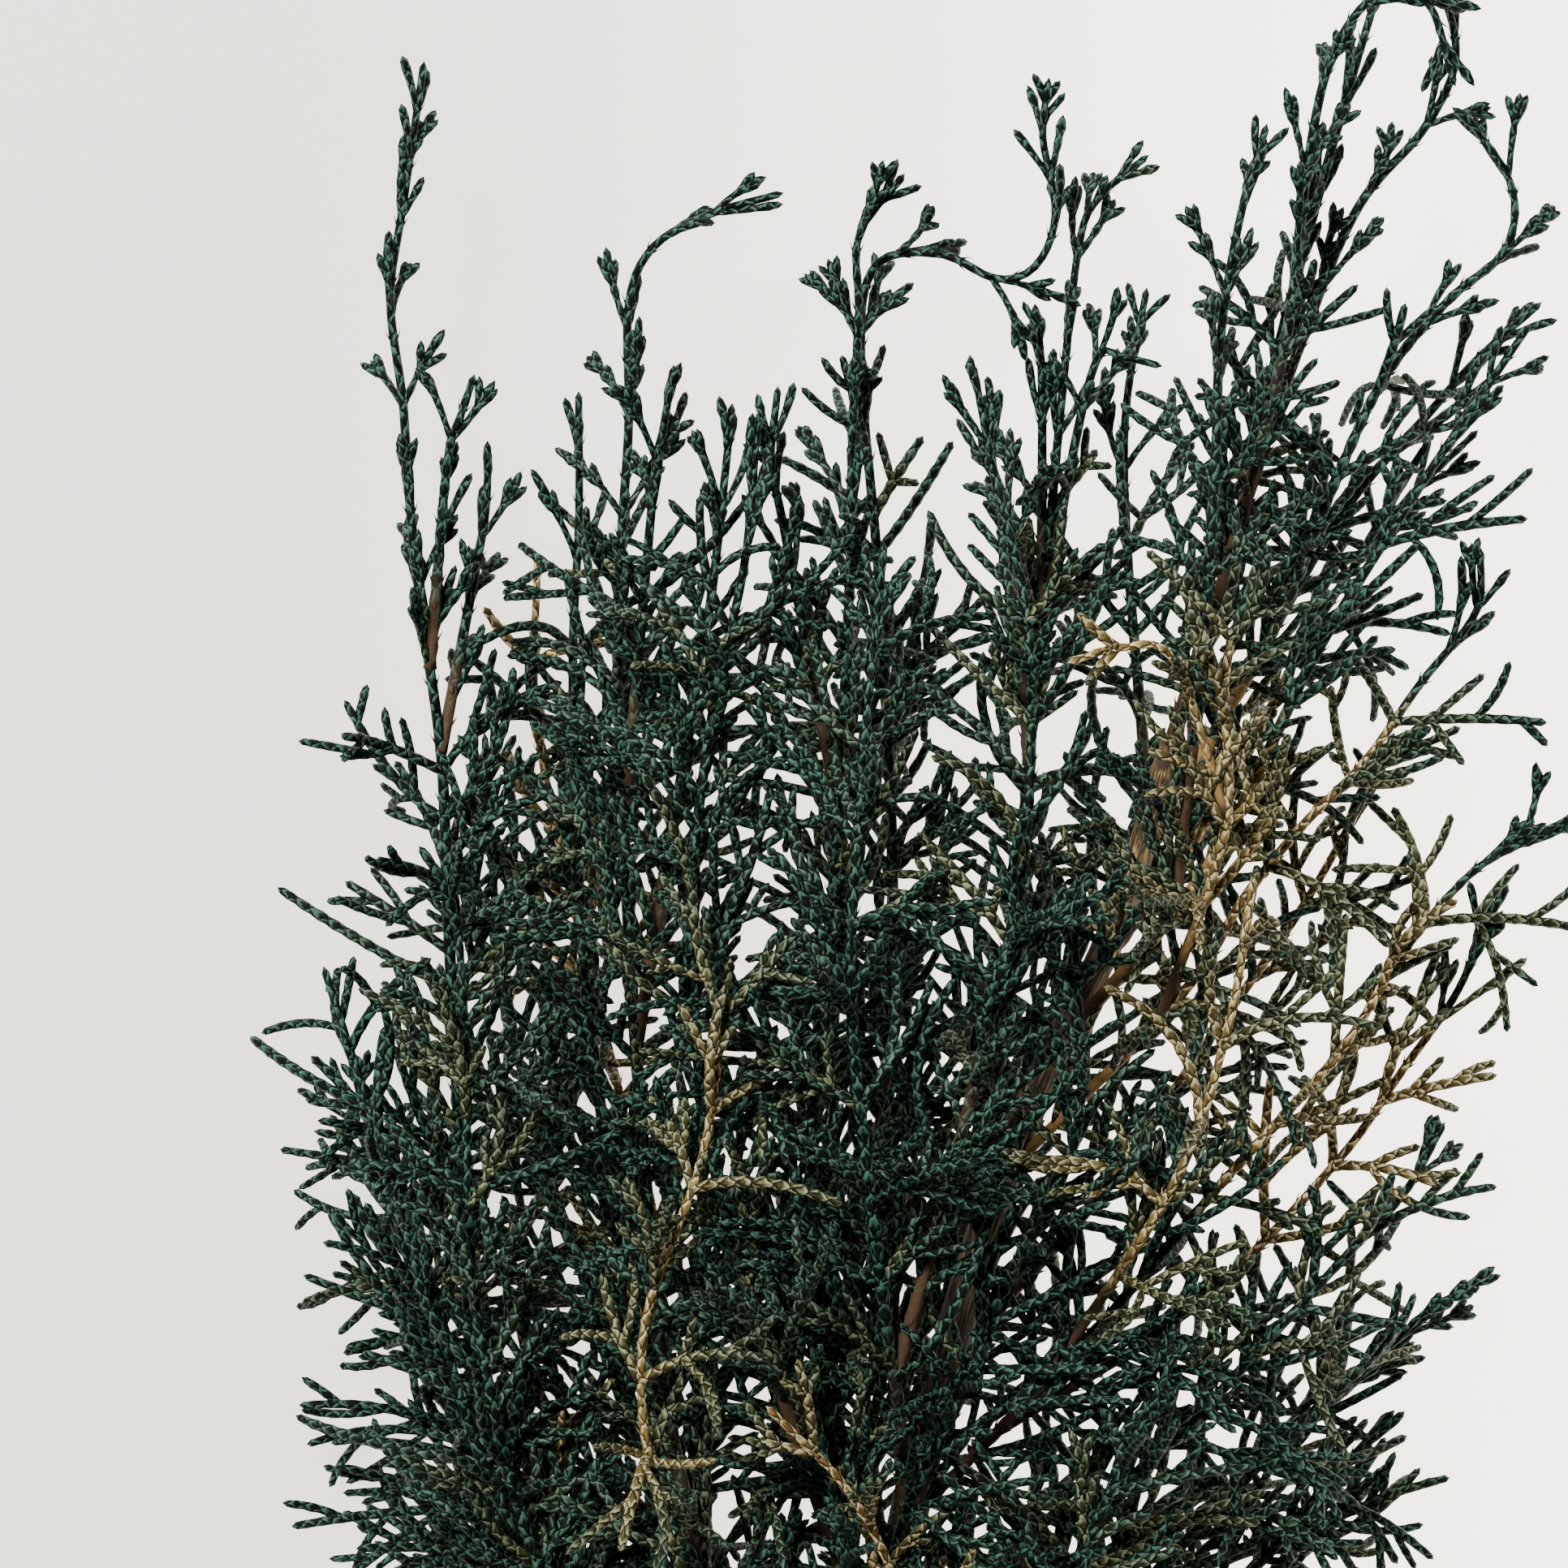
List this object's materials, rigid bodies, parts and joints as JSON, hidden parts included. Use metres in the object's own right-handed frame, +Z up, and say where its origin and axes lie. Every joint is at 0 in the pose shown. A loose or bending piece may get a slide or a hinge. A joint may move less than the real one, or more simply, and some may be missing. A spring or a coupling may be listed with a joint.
{
  "type": "preserved cypress stem",
  "caption": "Cut stem of preserved cypress lying on a surface, a woody stem with upswept branches of fine cord-like green and golden-brown leafy twigs.",
  "frame": {"origin": "on the surface that the stem lies on, under the middle of the part's bounding box", "axes": "+Y runs along the stem from its cut end towards its tip, +Z is up from the surface, +X is to the right when looking down with the tip away from you"},
  "size_m": [0.199, 0.4704, 0.0989],
  "materials": {
    "bark": "matt, rough brown bark",
    "green_leaf": "matt, dark blue-green scale leaves",
    "gold_leaf": "matt, golden-brown scale leaves"
  },
  "bodies": {
    "root": {"stem": "bark", "top_leader": "green_leaf", "upper_right": "green_leaf", "upper_front": "green_leaf", "upper_under": "green_leaf", "far_left": "green_leaf", "left_front": "green_leaf", "left_leader": "green_leaf", "left_under": "green_leaf", "left_tan": "gold_leaf", "centre_leader": "green_leaf", "centre_front": "green_leaf", "centre_under": "green_leaf", "right_leader": "green_leaf", "right_gold": "gold_leaf", "upper_gold": "gold_leaf", "right_low": "green_leaf", "right_base": "green_leaf", "right_under": "green_leaf", "low_centre": "green_leaf", "centre_gold": "gold_leaf", "centre_tan": "gold_leaf", "left_low_tan": "gold_leaf", "under_left": "green_leaf"}
  },
  "joints": []
}
